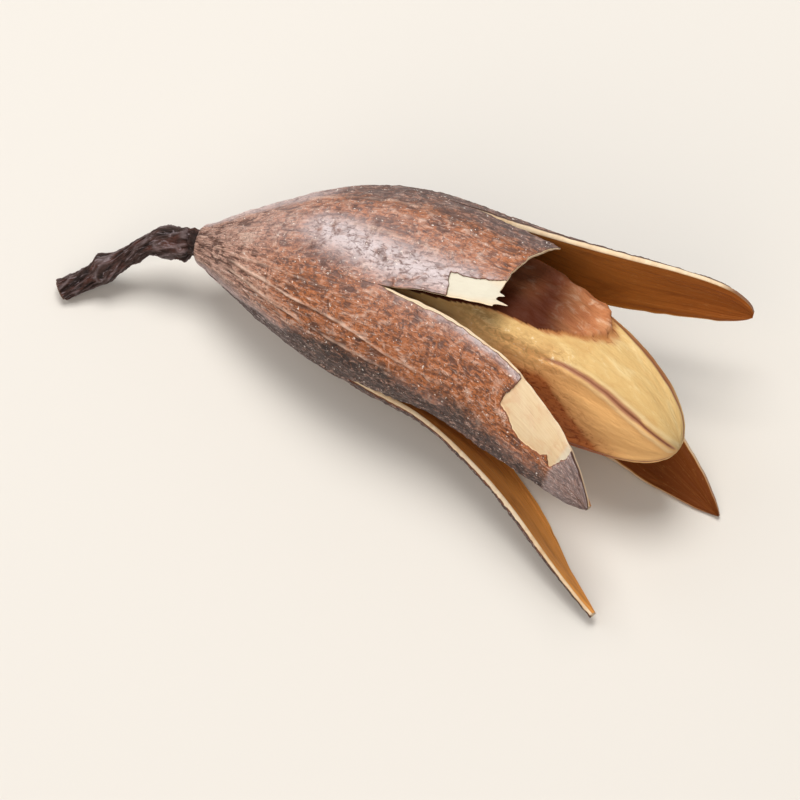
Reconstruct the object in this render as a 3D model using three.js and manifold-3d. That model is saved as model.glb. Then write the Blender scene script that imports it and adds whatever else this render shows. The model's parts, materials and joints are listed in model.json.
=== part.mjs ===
// A toon seed pod: a dry capsule, lying on its side, that has split from its tip into five woody valves
// round a five-ridged core, on the end of its twig.
//
// Units are millimetres. The pod has a frame of its own: x = 0 is where the valves leave the twig, +X runs to
// the tip, and an azimuth turns round X. It is built closed, then each valve is opened, then the whole pod is
// curved a little like a banana. Two nested groups lay it on the ground, with +Z up.
import * as THREE from "three";
import { ParametricGeometry } from "three/addons/geometries/ParametricGeometry.js";
import { mergeVertices } from "three/addons/utils/BufferGeometryUtils.js";
import Module from "manifold-3d";

const wasm = await Module();
wasm.setup();

const { degToRad, smoothstep, lerp, clamp, euclideanModulo } = THREE.MathUtils;

// ---- Driving dimensions ----

const podLength = 33; // valves, closed, from the twig to the tip
const podRadius = 6.25; // at the widest place
const baseRadius = 0.96; // where the valves meet the twig
const widestShare = 0.425; // of podLength
const basePower = 1; // how full the closed outline is towards the twig
const tipPower = 0.67; // and towards the tip

const valveCount = 5;
const valveAngle = Math.PI / valveCount; // half of the angle that one valve covers
const wall = { full: 0.55, atBase: 0.42, atTip: 0.38, baseZone: [0, 0.12], tipZone: [0.75, 1] };
const sutureGap = 0.15; // held back at each side of a valve
const leastHalfWidth = 0.05;
const widestBend = 1.3; // radians that half of a valve's section may turn through

const curve = { angle: degToRad(25.4), from: 6, to: 32 }; // of the whole pod, sideways

const core = {
  from: 2.5,
  to: 31.8,
  widestAt: 17.2,
  radius: 4.61,
  footShare: 0.25, // its radius at the foot, as a share of the widest
  footPower: 0.9,
  tipPower: 2.5,
  circle: 0.93, // the section goes from this much of a circle
  ridge: 0.65, // this far towards a pentagon
  turn: degToRad(3.4), // of its ridges, past the lines between the valves
};
const collar = { from: -0.85, to: -0.25, radius: 1.0, bevel: 0.2 };
const twig = {
  radius: 0.66,
  shoulder: 0.2,
  shoulderZone: [0.11, 0.28],
  waist: 0.08, // how much thinner it is halfway
  waistAt: 0.4,
  waistLength: 0.15,
  knot: 0.22,
  knotAt: 0.7,
  knotLength: 0.07,
  route: [
    [-1.15, -0.27, 0],
    [-2.3, -0.42, -0.05],
    [-3.5, -0.95, -0.3],
    [-5.0, -2.2, -0.8],
    [-6.1, -3.05, -1.12],
    [-8.15, -4.5, -1.17],
  ],
};

// How the pod lies, and how far the ground is below its own origin.
const rest = { pitch: degToRad(-7.3), roll: degToRad(24.5), depth: 4.4 };

// Each valve opens between two places along the pod. Splay tips it outwards, curl adds to that towards its
// end, yaw swings it sideways, twist turns its section and stretch lengthens it. The section's radius goes
// to trough as it opens. endShare is how much of its length is left, and blunt how much of that rounds off
// its end. A torn end is cut askew by slant and hollowed by torn. Trim is what is missing from one side, and
// slim what is missing from the other side towards the tip.
const plainValve = {
  curl: 0,
  yaw: 0,
  twist: 0,
  stretch: 1,
  trough: 6.6,
  endShare: 0.985,
  blunt: 0,
  slant: 0,
  torn: 0,
  trim: 0,
  slim: 0,
};
const valves = [
  {
    ...plainValve,
    name: "valve_1",
    azimuth: 126,
    opens: [10.3, 21.9],
    splay: 11.1,
    trough: 5.7,
    endShare: 0.62,
    slant: 0.051,
    torn: 0.017,
    trim: 0.2,
  },
  {
    ...plainValve,
    name: "valve_2",
    azimuth: 198,
    opens: [13.3, 27.6],
    splay: 20,
    curl: 3.8,
    yaw: 2.9,
    twist: 33,
    stretch: 0.967,
    endShare: 0.92,
    blunt: 0.06,
    slim: 0.35,
  },
  {
    ...plainValve,
    name: "valve_3",
    azimuth: 54,
    opens: [9.3, 23.4],
    splay: 5.8,
    curl: 3.9,
    yaw: -4.4,
    stretch: 0.937,
    trough: 7.15,
    endShare: 0.95,
    blunt: 0.1,
  },
  {
    ...plainValve,
    name: "valve_4",
    azimuth: -18,
    opens: [10.8, 14.7],
    splay: 10.5,
    curl: 2.6,
    yaw: 12.7,
    twist: 8.8,
    stretch: 1.031,
    trough: 7.9,
    trim: 0.31,
  },
  {
    ...plainValve,
    name: "valve_5",
    azimuth: 270,
    opens: [8, 20],
    splay: -1.8,
    yaw: 7.9,
    twist: -0.8,
    stretch: 1.078,
  },
];
const stretchZone = [10, 14]; // x, where the lengthening comes in
const trimZone = [0.36, 0.6]; // t, where a narrower side comes in
const slimZone = [0.58, 0.9]; // t, where a slimmer tip comes in
const tornZone = [0.6, 1]; // share of the rows that a torn end moves
const roundest = { limit: 0.97, power: 2.2 }; // of a blunt end
const rowCrowding = 1.5; // rows lie closer towards the tip

const grid = { across: 8, along: 26, meridian: 400, curve: 40 };
const coreGrid = { sides: 40, rows: 28 };
const twigGrid = { sides: 12, rows: 24 };
const collarSides = 20;

// ---- The pod's own directions ----

const radial = (azimuth) => new THREE.Vector3(0, -Math.cos(azimuth), Math.sin(azimuth));
const around = (azimuth) => new THREE.Vector3(0, Math.sin(azimuth), Math.cos(azimuth));

// Radius of the closed pod at a share t of its length: a sine to the widest place, a cosine to the tip.
function closedRadius(t) {
  if (t < widestShare) {
    const rise = Math.sin((Math.PI / 2) * (t / widestShare)) ** basePower;
    return lerp(baseRadius, podRadius, rise);
  }
  const fall = Math.cos((Math.PI / 2) * ((t - widestShare) / (1 - widestShare)));
  return podRadius * Math.max(fall, 0) ** tipPower;
}

// Carries a point of the straight pod onto the curved one, whose middle line turns towards -Y.
function curved(point) {
  const stride = point.x / grid.curve;
  const middle = new THREE.Vector3();
  for (let i = 0; i < grid.curve; i++) {
    const turn = curve.angle * smoothstep((i + 0.5) * stride, curve.from, curve.to);
    middle.x += Math.cos(turn) * stride;
    middle.y -= Math.sin(turn) * stride;
  }
  const turn = curve.angle * smoothstep(point.x, curve.from, curve.to);
  const offset = new THREE.Vector3(Math.sin(turn) * point.y, Math.cos(turn) * point.y, point.z);
  return middle.add(offset);
}

// ---- Valves ----

// Walks along a valve's middle line from the twig, and returns a function that gives its state at a share t:
// place along, out and aside, slope, yaw, and how far it has opened there, from 0 to 1.
function meridianOf(valve) {
  const states = [];
  const splay = degToRad(valve.splay);
  let last = null;
  for (let i = 0; i <= grid.meridian; i++) {
    const t = i / grid.meridian;
    const x = t * podLength;
    const radius = closedRadius(t);
    const step = 0.5 / grid.meridian;
    const rise = closedRadius(Math.min(t + step, 1)) - closedRadius(Math.max(t - step, 0));
    const run = podLength * (Math.min(t + step, 1) - Math.max(t - step, 0));
    const open = smoothstep(x, valve.opens[0], valve.opens[1]);
    const curlShare = clamp((x - valve.opens[0]) / (podLength - valve.opens[0]), 0, 1);
    const slope = lerp(Math.atan2(rise, run), splay + degToRad(valve.curl) * curlShare, open);
    const swing = smoothstep(x, valve.opens[0], podLength);
    const yaw = degToRad(valve.yaw) * swing;
    const twist = degToRad(valve.twist) * swing;
    const state = { x, radius, open, slope, yaw, twist };
    if (last) {
      const stretch = lerp(1, valve.stretch, smoothstep((x + last.x) / 2, ...stretchZone));
      const length = Math.hypot(x - last.x, radius - last.radius) * stretch;
      const meanSlope = (slope + last.slope) / 2;
      const meanYaw = (state.yaw + last.yaw) / 2;
      state.along = last.along + Math.cos(meanSlope) * Math.cos(meanYaw) * length;
      state.out = last.out + Math.sin(meanSlope) * Math.cos(meanYaw) * length;
      state.aside = last.aside + Math.sin(meanYaw) * length;
    } else {
      Object.assign(state, { along: 0, out: radius, aside: 0 });
    }
    states.push(state);
    last = state;
  }
  return (t) => {
    const place = clamp(t, 0, 1) * grid.meridian;
    const i = Math.min(Math.floor(place), grid.meridian - 1);
    const between = {};
    for (const key of Object.keys(states[i])) {
      between[key] = lerp(states[i][key], states[i + 1][key], place - i);
    }
    return between;
  };
}

// A point of a valve: t along it, u from -1 to 1 across it, and depth from its outer skin. Its section is an
// arc, of the pod's own radius where it is closed and of its trough's where it has opened.
function valvePoint(valve, meridian, t, u, depth) {
  const at = meridian(t);
  const azimuth = degToRad(valve.azimuth);
  const out = radial(azimuth);
  const aside = around(azimuth);
  const forward = new THREE.Vector3(1, 0, 0);

  const halfWidth = Math.max(at.radius * valveAngle - sutureGap, leastHalfWidth);
  const arcRadius = Math.max(lerp(at.radius, valve.trough, at.open), halfWidth / widestBend);
  const lean = out.clone().multiplyScalar(Math.cos(at.slope)).addScaledVector(forward, -Math.sin(at.slope));
  const normal = out.clone().lerp(lean, at.open).normalize();
  const side = aside.clone().multiplyScalar(Math.cos(at.yaw)).addScaledVector(forward, -Math.sin(at.yaw));
  const up = normal.clone().multiplyScalar(Math.cos(at.twist)).addScaledVector(side, Math.sin(at.twist));
  const over = side.clone().multiplyScalar(Math.cos(at.twist)).addScaledVector(normal, -Math.sin(at.twist));

  const angle = (u * halfWidth) / arcRadius;
  const point = new THREE.Vector3(at.along, 0, 0);
  point.addScaledVector(out, at.out).addScaledVector(aside, at.aside);
  point.addScaledVector(up, (arcRadius - depth) * Math.cos(angle) - arcRadius);
  point.addScaledVector(over, (arcRadius - depth) * Math.sin(angle));
  return curved(point);
}

function wallAt(t) {
  const full = lerp(wall.atBase, wall.full, smoothstep(t, ...wall.baseZone));
  return lerp(full, wall.atTip, smoothstep(t, ...wall.tipZone));
}

// A closed shell. The section's outline runs across the outer skin and back across the inner one. The first
// and last rows fold both onto the middle of the wall, which closes the ends.
function valveGeometry(valve) {
  const meridian = meridianOf(valve);
  const outline = 2 * grid.across + 2;
  const rows = grid.along + 2;
  const shell = (share, end, target) => {
    const j = Math.round(share * outline) % outline;
    const inside = j > grid.across;
    let u = inside ? -1 + (2 * (j - grid.across - 1)) / grid.across : 1 - (2 * j) / grid.across;
    const row = Math.round(end * rows);
    const s = clamp((row - 1) / grid.along, 0, 1);
    const towardsTip = 1 - (1 - s) ** rowCrowding;
    const tear = valve.torn * (1 - u * u) + (valve.slant * (1 - u)) / 2;
    const t = valve.endShare * towardsTip * (1 - tear * smoothstep(s, ...tornZone));
    const rounding = clamp((t - (valve.endShare - valve.blunt)) / (valve.blunt || 1), 0, roundest.limit);
    if (valve.blunt) u *= Math.sqrt(1 - rounding ** roundest.power);
    const missing = u < 0 ? valve.trim * smoothstep(t, ...trimZone) : valve.slim * smoothstep(t, ...slimZone);
    u *= 1 - missing;
    const thick = wallAt(t / valve.endShare);
    const folded = row === 0 || row === rows;
    const depth = folded ? thick / 2 : inside ? thick : 0;
    target.copy(valvePoint(valve, meridian, t, u, depth));
  };
  return new ParametricGeometry(shell, outline, rows);
}

// ---- Core, collar and twig ----

// The core swells from a narrow foot to its widest place and rounds off at the tip. Its section goes from a
// circle towards a pentagon whose ridges face the lines between the valves.
function coreGeometry() {
  const { sides, rows } = coreGrid;
  const firstRidge = degToRad(valves[0].azimuth) + valveAngle + core.turn;
  const surface = (share, end, target) => {
    const row = Math.round(end * rows);
    const s = clamp((row - 1) / (rows - 1), 0, 1);
    const x = lerp(core.from, core.to, s);
    const foot = clamp((x - core.from) / (core.widestAt - core.from), 0, 1);
    const tip = clamp((x - core.widestAt) / (core.to - core.widestAt), 0, 1);
    const swelling = lerp(core.footShare, 1, Math.sin((Math.PI / 2) * foot) ** core.footPower);
    const swell = tip > 0 ? Math.sqrt(1 - tip ** core.tipPower) : swelling;
    const angle = -share * 2 * Math.PI;
    const fromLine = euclideanModulo(angle - firstRidge + valveAngle, 2 * valveAngle);
    const fromRidge = fromLine - valveAngle;
    const pentagon = Math.cos(valveAngle) / Math.cos(valveAngle - Math.abs(fromRidge));
    const section = lerp(core.circle, pentagon, core.ridge);
    const radius = row === 0 ? 0 : core.radius * swell * section;
    target.copy(curved(radial(angle).multiplyScalar(radius).setX(x)));
  };
  return new ParametricGeometry(surface, sides, rows);
}

// The scar ring between the twig and the valves: a short round-edged disc, turned about the pod's X.
function collarGeometry() {
  const { bevel } = collar;
  const outline = [
    [0, collar.from],
    [collar.radius - bevel, collar.from],
    [collar.radius, collar.from + bevel],
    [collar.radius, collar.to - bevel],
    [collar.radius - bevel, collar.to],
    [0, collar.to],
  ];
  const points = outline.map(([radius, x]) => new THREE.Vector2(radius, x));
  return new THREE.LatheGeometry(points, collarSides).rotateZ(-Math.PI / 2);
}

// The twig: a round section carried along a bent line, thick where it meets the pod, then a waist and a knot.
function twigGeometry() {
  const middle = new THREE.CatmullRomCurve3(twig.route.map((place) => new THREE.Vector3(...place)));
  const { sides, rows } = twigGrid;
  const surface = (share, end, target) => {
    const row = Math.round(end * rows);
    const s = clamp((row - 1) / (rows - 2), 0, 1);
    const shoulder = twig.shoulder * (1 - smoothstep(s, ...twig.shoulderZone));
    const waist = twig.waist * Math.exp(-(((s - twig.waistAt) / twig.waistLength) ** 2));
    const knot = twig.knot * Math.exp(-(((s - twig.knotAt) / twig.knotLength) ** 2));
    const radius = row === 0 || row === rows ? 0 : twig.radius + shoulder - waist + knot;
    const forward = middle.getTangentAt(s);
    const side = new THREE.Vector3(0, 0, 1).cross(forward).normalize();
    const up = forward.clone().cross(side);
    const angle = share * 2 * Math.PI;
    target.copy(middle.getPointAt(s));
    target.addScaledVector(side, radius * Math.cos(angle)).addScaledVector(up, radius * Math.sin(angle));
  };
  return new ParametricGeometry(surface, sides, rows);
}

// ---- The ground, as a flat that trims what would reach below it ----

function solidOf(geometry) {
  const bare = geometry.clone().deleteAttribute("normal").deleteAttribute("uv");
  const merged = mergeVertices(bare, 1e-3);
  const vertProperties = merged.attributes.position.array;
  const triVerts = new Uint32Array(merged.index.array);
  return new wasm.Manifold(new wasm.Mesh({ numProp: 3, vertProperties, triVerts }));
}

function geometryOf(solid) {
  const made = solid.getMesh();
  const geometry = new THREE.BufferGeometry();
  geometry.setAttribute("position", new THREE.BufferAttribute(made.vertProperties, 3));
  geometry.setIndex(new THREE.BufferAttribute(made.triVerts, 1));
  return geometry;
}

function groundBlock() {
  const size = 4 * podLength;
  const block = new THREE.BoxGeometry(size, size, size).translate(0, 0, -rest.depth - size / 2);
  return block.rotateY(-rest.pitch).rotateX(-rest.roll);
}

function trimmed(geometry) {
  return geometryOf(solidOf(geometry).subtract(solidOf(groundBlock())));
}

// ---- Scene graph ----

const skin = new THREE.MeshStandardMaterial({ color: 0x8c6a5c, roughness: 0.8, metalness: 0 });
const pith = new THREE.MeshStandardMaterial({ color: 0xe4c88e, roughness: 0.75, metalness: 0 });
const bark = new THREE.MeshStandardMaterial({ color: 0x543c2f, roughness: 0.9, metalness: 0 });

function named(name, geometry, material) {
  const mesh = new THREE.Mesh(geometry, material);
  mesh.name = name;
  return mesh;
}

const pod = new THREE.Group();
pod.rotation.x = rest.roll;
for (const valve of valves) {
  pod.add(named(valve.name, trimmed(valveGeometry(valve)), skin));
}
pod.add(named("core", coreGeometry(), pith));
pod.add(named("collar", collarGeometry(), bark));
pod.add(named("twig", trimmed(twigGeometry()), bark));

const laid = new THREE.Group();
laid.rotation.y = rest.pitch;
laid.add(pod);

// The part's origin is in the middle of its footprint, on the ground.
const part = new THREE.Group();
part.add(laid);
const box = new THREE.Box3().setFromObject(part, true);
laid.position.set(-(box.min.x + box.max.x) / 2, -(box.min.y + box.max.y) / 2, -box.min.z);

export default part;
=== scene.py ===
import json
import math
import bpy
import numpy as np
from mathutils import Matrix, Vector

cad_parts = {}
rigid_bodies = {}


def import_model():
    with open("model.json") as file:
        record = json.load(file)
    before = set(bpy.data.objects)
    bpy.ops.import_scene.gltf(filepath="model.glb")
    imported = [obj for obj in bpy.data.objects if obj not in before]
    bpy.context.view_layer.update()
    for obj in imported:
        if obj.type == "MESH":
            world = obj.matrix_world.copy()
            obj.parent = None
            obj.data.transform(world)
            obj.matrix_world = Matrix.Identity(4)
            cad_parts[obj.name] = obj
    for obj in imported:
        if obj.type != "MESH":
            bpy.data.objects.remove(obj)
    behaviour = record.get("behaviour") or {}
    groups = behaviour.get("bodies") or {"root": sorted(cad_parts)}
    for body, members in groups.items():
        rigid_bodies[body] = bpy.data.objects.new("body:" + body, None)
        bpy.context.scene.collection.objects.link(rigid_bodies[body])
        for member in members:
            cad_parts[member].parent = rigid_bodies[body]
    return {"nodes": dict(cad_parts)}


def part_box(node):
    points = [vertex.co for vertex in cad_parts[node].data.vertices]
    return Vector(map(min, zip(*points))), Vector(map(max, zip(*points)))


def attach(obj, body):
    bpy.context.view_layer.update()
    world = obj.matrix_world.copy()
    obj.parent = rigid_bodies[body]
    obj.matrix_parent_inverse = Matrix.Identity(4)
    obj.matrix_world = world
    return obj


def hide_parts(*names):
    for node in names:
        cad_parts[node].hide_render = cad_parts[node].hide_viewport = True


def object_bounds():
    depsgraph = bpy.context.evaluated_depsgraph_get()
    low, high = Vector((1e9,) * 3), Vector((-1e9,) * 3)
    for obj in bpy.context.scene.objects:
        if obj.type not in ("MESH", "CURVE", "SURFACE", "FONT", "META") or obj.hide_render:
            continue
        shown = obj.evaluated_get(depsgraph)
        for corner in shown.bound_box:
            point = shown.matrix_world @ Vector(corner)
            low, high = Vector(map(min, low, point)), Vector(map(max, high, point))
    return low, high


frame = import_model()
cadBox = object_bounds()
mm = 0.001  # sizes below are in millimetres, Blender is in metres
print("frame loaded:", ", ".join(sorted(frame["nodes"])))

# the whole pod: x runs from the twig to the tip and an azimuth turns round x; it is built straight and shut,
# then its valves open, it bends, and it is turned to how it lies
pod = {
    "length": 33,
    "radius": 6.25,
    "baseRadius": 0.96,
    "widestShare": 0.425,  # of the length
    "tipPower": 0.67,
    "valveCount": 5,
    "bend": math.radians(25.4),
    "bendFrom": 6,
    "bendTo": 32,
    "middleLine": (-12, 60, 1441),  # from, to, and how many places of it are worked out
    "pitch": math.radians(-7.3),
    "roll": math.radians(24.5),
    "collarMiddle": -0.55,
    "grainRadius": 5,  # the straight cylinder that the grain patterns are drawn on
    "latticeRows": 512,  # rows of random heights
}
valveAngle = math.pi / pod["valveCount"]  # half of what one valve covers
restTurn = np.array(Matrix.Rotation(pod["pitch"], 3, "Y") @ Matrix.Rotation(pod["roll"], 3, "X"))
collarLow, collarHigh = (np.array(corner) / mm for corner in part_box("collar"))
podOrigin = (collarLow + collarHigh) / 2 - restTurn @ np.array([pod["collarMiddle"], 0, 0])
groundLevel = cadBox[0].z


def smooth(low, high, value):  # smoothstep: 0 below low, 1 above high
    share = np.clip((value - low) / (high - low), 0, 1)
    return share * share * (3 - 2 * share)


def band(places, value):  # 0 outside, 1 inside: rises over the first two places, falls over the last two
    return smooth(places[0], places[1], value) * (1 - smooth(places[2], places[3], value))


def bell(value, middle, width):  # a soft bump: 1 at the middle, gone two widths away
    return np.exp(-((value - middle) / width) ** 2)


def mix(a, b, share):  # straight blend from a to b
    return a + (b - a) * share


def radial(azimuth):  # unit vector out of the pod
    return np.stack([0 * azimuth, -np.cos(azimuth), np.sin(azimuth)], -1)


def between(values):  # means of neighbours
    return (values[1:] + values[:-1]) / 2


def totals(steps):  # running totals, from 0
    return np.concatenate([[0], np.cumsum(steps)])


def unit(vectors):
    return vectors / np.linalg.norm(vectors, axis=-1, keepdims=True)


def closedRadius(t):  # radius of the shut pod: a sine up to the widest place, a cosine down to the tip
    rise = np.sin(np.pi / 2 * np.clip(t / pod["widestShare"], 0, 1))
    fall = np.cos(np.pi / 2 * np.clip((t - pod["widestShare"]) / (1 - pod["widestShare"]), 0, 1))
    tipSide = pod["radius"] * np.maximum(fall, 0) ** pod["tipPower"]
    return np.where(t < pod["widestShare"], mix(pod["baseRadius"], pod["radius"], rise), tipSide)


def bent(points):  # straight pod to bent pod: each section turns with a middle line that swings towards -y
    x = np.linspace(*pod["middleLine"])
    turn = smooth(pod["bendFrom"], pod["bendTo"], x) * pod["bend"]
    middleX = totals(between(np.cos(turn)) * np.diff(x))
    middleY = -totals(between(np.sin(turn)) * np.diff(x))
    middleX -= np.interp(0, x, middleX)
    middleY -= np.interp(0, x, middleY)
    here = points[..., 0]
    turned = np.interp(here, x, turn)
    bentX = np.interp(here, x, middleX) + np.sin(turned) * points[..., 1]
    bentY = np.interp(here, x, middleY) + np.cos(turned) * points[..., 1]
    return np.stack([bentX, bentY, points[..., 2]], -1)


def placed(points, lift=0):
    # pod's own millimetres to the frame's metres, and nothing lower than the ground, or than lift above it
    laid = (bent(points) @ restTurn.T + podOrigin) * mm
    laid[..., 2] = np.maximum(laid[..., 2], groundLevel + lift * mm)
    return laid


def lattice(turns, along, cells, step, seed):
    # random heights from -1 to 1 on a grid, smoothly joined: so many cells once round, and a step along in mm
    rows = pod["latticeRows"]
    heights = np.random.default_rng(seed).uniform(-1, 1, (cells, rows))
    a, b = turns * cells, along / step
    i, j = np.floor(a).astype(int), np.floor(b).astype(int)
    f, g = smooth(0, 1, a - i), smooth(0, 1, b - j)
    near = mix(heights[i % cells, j % rows], heights[(i + 1) % cells, j % rows], f)
    far = mix(heights[i % cells, (j + 1) % rows], heights[(i + 1) % cells, (j + 1) % rows], f)
    return mix(near, far, g)


def roughness(turns, along, layers, shift=0):  # lattices added up: height, cells round, step along, seed
    return sum(height * lattice(turns, along, *grid, seed + shift) for height, *grid, seed in layers)


def ridged(heights, sharpness=1):  # 1 on a crest, where heights pass 0, and less on both sides of it
    return 1 - np.abs(heights) ** sharpness


def polygonDistance(x, y, corners):  # distance to a closed outline, positive inside it
    nearest = np.full(x.shape, 1e9)
    inside = np.zeros(x.shape, bool)
    for (ax, ay), (bx, by) in zip(corners, corners[1:] + corners[:1]):
        ex, ey = bx - ax, by - ay
        share = np.clip(((x - ax) * ex + (y - ay) * ey) / (ex * ex + ey * ey), 0, 1)
        nearest = np.minimum(nearest, np.hypot(x - ax - share * ex, y - ay - share * ey))
        inside ^= ((ay > y) != (by > y)) & (x < ex * (y - ay) / (ey or 1e-9) + ax)
    return np.where(inside, nearest, -nearest)


def grainOf(azimuth, along, radius=pod["grainRadius"]):  # place on a straight cylinder, read by the patterns
    return np.stack([np.cos(azimuth) * radius, np.sin(azimuth) * radius, along], -1)


def gridPiece(name, points, attributes, materials, faceMaterial=0, fan=False):
    # points has a row for each step along and wraps round across; both ends close with a strip across a thin
    # section, or with a fan to one point
    rows, columns = points.shape[:2]
    index = np.arange(rows * columns).reshape(rows, columns)
    right = np.roll(index, -1, axis=1)
    quads = np.stack([index[:-1], right[:-1], right[1:], index[1:]], -1).reshape(-1, 4)
    tone = np.broadcast_to(faceMaterial, (rows - 1, columns)).ravel()
    vertices = [points.reshape(-1, 3)]
    values = {key: [value.reshape(rows * columns, -1)] for key, value in attributes.items()}
    triangles = []
    for which in (0, rows - 1):
        ring = index[which] if which else index[which][::-1]
        if not fan:
            half = columns // 2
            c = np.arange(1, half - 1)
            strip = np.stack([ring[c], ring[c + 1], ring[columns - c - 1], ring[columns - c]], -1)
            quads = np.concatenate([quads, strip])
            triangles += [[ring[0], ring[1], ring[-1]], [ring[half - 1], ring[half], ring[half + 1]]]
        else:
            middle = sum(len(block) for block in vertices)
            vertices.append(points[which].mean(0, keepdims=True))
            for key in values:
                values[key].append(values[key][0][ring].mean(0, keepdims=True))
            triangles += np.stack([ring, np.roll(ring, -1), np.full(columns, middle)], -1).tolist()
    vertices = np.concatenate(vertices)
    triangles = np.array(triangles, int)
    a, b, c, d = vertices[quads].transpose(1, 0, 2)
    if (a * (np.cross(b, c) + np.cross(c, d))).sum() < 0:  # the volume's sign: faces have to point outwards
        quads, triangles = quads[:, ::-1], triangles[:, ::-1]
    mesh = bpy.data.meshes.new(name)
    mesh.from_pydata(vertices, [], quads.tolist() + triangles.tolist(), shade_flat=False)
    for material in materials:
        mesh.materials.append(material)
    tone = np.concatenate([tone, np.full(len(mesh.polygons) - len(tone), len(materials) > 1)])
    mesh.polygons.foreach_set("material_index", tone.astype(np.int32))
    for key, blocks in values.items():
        block = np.concatenate(blocks).astype(np.float32)
        kind, field = ("FLOAT_VECTOR", "vector") if block.shape[1] == 3 else ("FLOAT", "value")
        mesh.attributes.new(key, kind, "POINT").data.foreach_set(field, block.ravel())
    mesh.validate()
    mesh.update()
    piece = bpy.data.objects.new(name, mesh)
    bpy.context.scene.collection.objects.link(piece)
    return piece


# materials


def hexColour(code):  # sRGB hex to linear, with an alpha of 1
    parts = [int(code[i:i + 2], 16) / 255 for i in (1, 3, 5)]
    return tuple(c / 12.92 if c <= 0.04045 else ((c + 0.055) / 1.055) ** 2.4 for c in parts) + (1.0,)


def addNode(tree, kind, inputs=None, **settings):  # a shader node with its settings and links
    node = tree.nodes.new("ShaderNode" + kind)
    for key, value in settings.items():
        setattr(node, key, value)
    for key, value in (inputs or {}).items():
        if isinstance(value, bpy.types.NodeSocket):
            tree.links.new(value, node.inputs[key])
        else:
            node.inputs[key].default_value = hexColour(value) if isinstance(value, str) else value
    return node


def newMaterial(name):
    material = bpy.data.materials.new(name)
    material.use_nodes = True
    material.node_tree.nodes.clear()
    return material, material.node_tree


def finishMaterial(tree, colour, height, depth, rough, specular=0.5):  # surface, bump to a depth, and output
    bump = addNode(tree, "Bump", {"Height": height, "Distance": depth * mm})
    inputs = {"Base Color": colour, "Normal": bump.outputs[0], "Roughness": rough}
    surface = addNode(tree, "BsdfPrincipled", {**inputs, "Specular IOR Level": specular})
    addNode(tree, "OutputMaterial", {"Surface": surface.outputs[0]})


def surfaceFields(tree, attributes, patterns):
    # what a material reads: its mesh attributes, and noises that run with the grain, in mm: how fine across,
    # how fine along, detail, and how far it is swirled
    fields = {}
    for name in attributes:
        fields[name] = addNode(tree, "Attribute", attribute_name=name).outputs["Fac"]
    grain = addNode(tree, "Attribute", attribute_name="grain").outputs["Vector"]
    for name, (across, along, detail, swirl) in patterns.items():
        size = (1 / across, 1 / across, 1 / along)
        stretched = addNode(tree, "VectorMath", {0: grain, 1: size}, operation="MULTIPLY")
        inputs = {"Vector": stretched.outputs[0], "Scale": 1.0, "Detail": detail, "Distortion": swirl}
        fields[name] = addNode(tree, "TexNoise", {**inputs, "Roughness": 0.62}).outputs[0]
    return fields


def layered(tree, fields, colour, layers):  # tints laid over another: field, from, to, how strong, and tint
    for field, low, high, strength, tint in layers:
        strength = fields.get(strength, strength)
        share = addNode(tree, "MapRange", {0: fields[field], 1: low, 2: high, 4: strength})
        mixed = addNode(tree, "Mix", {0: share.outputs[0], 6: colour, 7: tint}, data_type="RGBA")
        colour = mixed.outputs[2]
    return colour


def summed(tree, fields, weights):  # fields added up, each with its weight
    total = 0.0
    for field, weight in weights.items():
        inputs = {0: fields[field], 1: weight, 2: total}
        total = addNode(tree, "Math", inputs, operation="MULTIPLY_ADD").outputs[0]
    return total


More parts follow.
